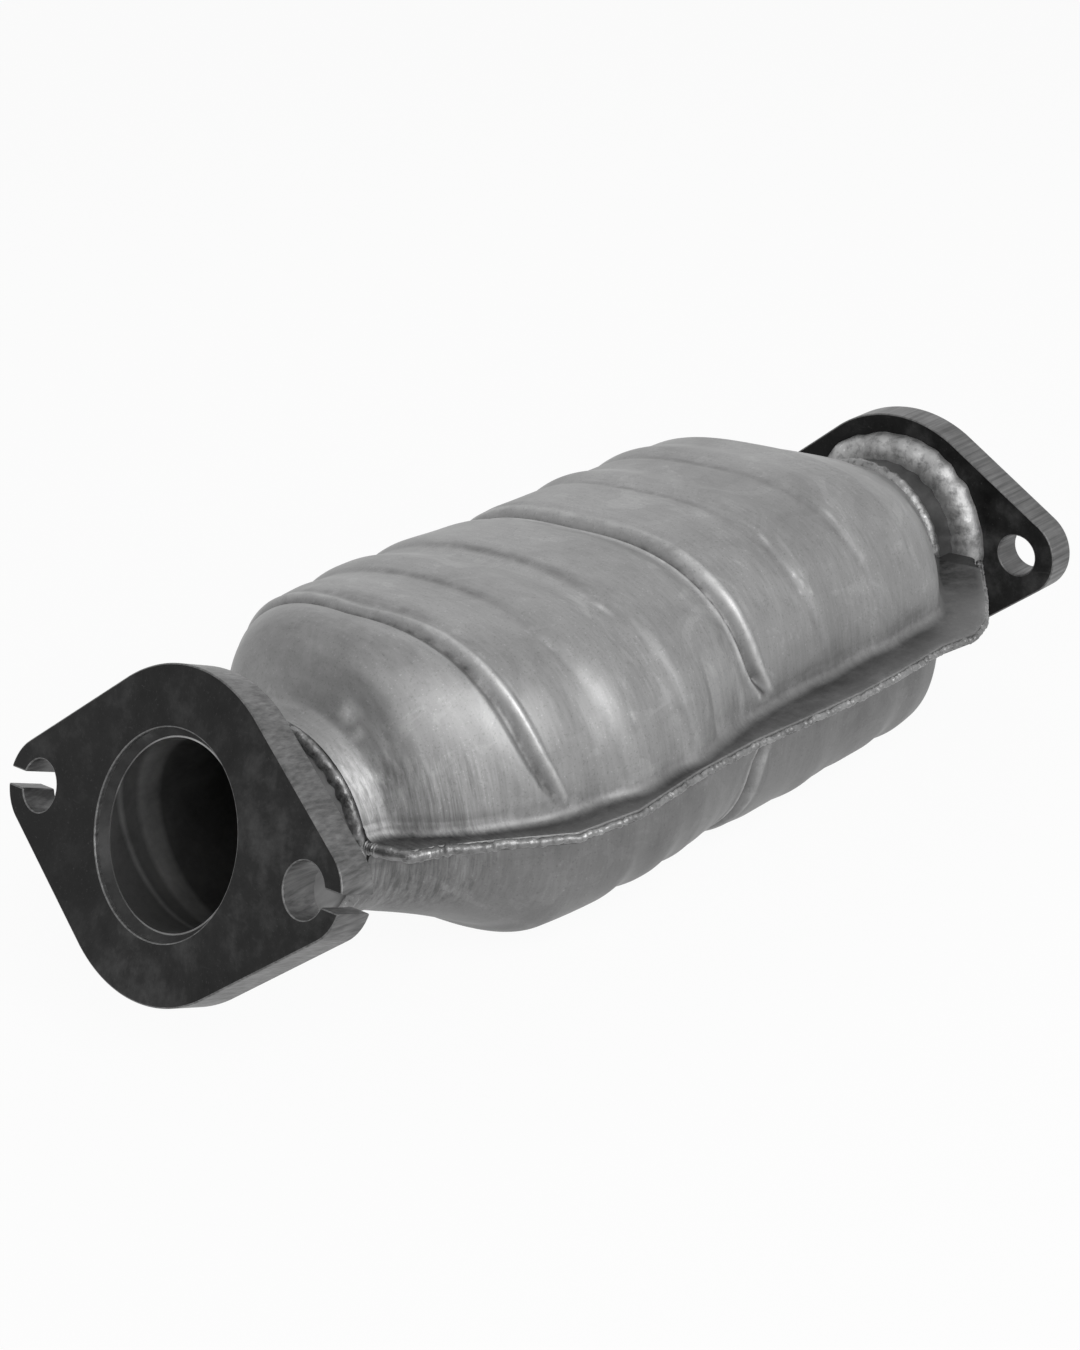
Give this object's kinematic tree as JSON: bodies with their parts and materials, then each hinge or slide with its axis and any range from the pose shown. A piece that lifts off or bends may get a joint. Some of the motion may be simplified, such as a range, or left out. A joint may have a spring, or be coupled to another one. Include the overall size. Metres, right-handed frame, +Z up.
{
  "type": "catalytic converter",
  "caption": "Clamshell exhaust catalyst: two ribbed stamped shells welded at a lip round honeycomb bricks, a pitched keyhole flange at the inlet and an upright two-bolt flange at the outlet",
  "frame": {"origin": "centre of the bore in the outer (gasket) face of the inlet flange, which is the centre of its two-bolt pattern", "axes": "+X runs along the body from the inlet to the outlet, +Y across the body along the bolt lines, +Z up out of the upper half-shell; the body axis lies 11.13 mm below the origin"},
  "size_m": [0.3265, 0.1476, 0.0947],
  "materials": {
    "satin_stainless": "satin stamped stainless steel with brush marks and heat marks",
    "mill_scale_plate": "dark mill scale on the faces, bright cut rims",
    "tube_steel": "dull drawn tube",
    "weld_metal": "bright rippled weld bead",
    "cordierite": "matt unglazed honeycomb ceramic",
    "fibre_mat": "pressed fibre matting",
    "wire_mesh": "knitted stainless wire rope"
  },
  "bodies": {
    "root": {"upper_shell": "satin_stainless", "lower_shell": "satin_stainless", "inlet_flange": "mill_scale_plate", "outlet_flange": "mill_scale_plate", "inlet_neck": "tube_steel", "outlet_neck": "tube_steel", "inlet_flange_weld": "weld_metal", "inlet_bore_weld": "weld_metal", "inlet_neck_weld": "weld_metal", "outlet_flange_weld": "weld_metal", "outlet_neck_weld": "weld_metal", "seam_weld_left": "weld_metal", "seam_weld_right": "weld_metal", "front_monolith": "cordierite", "front_mat": "fibre_mat", "front_mat_inlet_seal": "wire_mesh", "front_mat_outlet_seal": "wire_mesh", "rear_monolith": "cordierite", "rear_mat": "fibre_mat", "rear_mat_inlet_seal": "wire_mesh", "rear_mat_outlet_seal": "wire_mesh"}
  },
  "joints": []
}
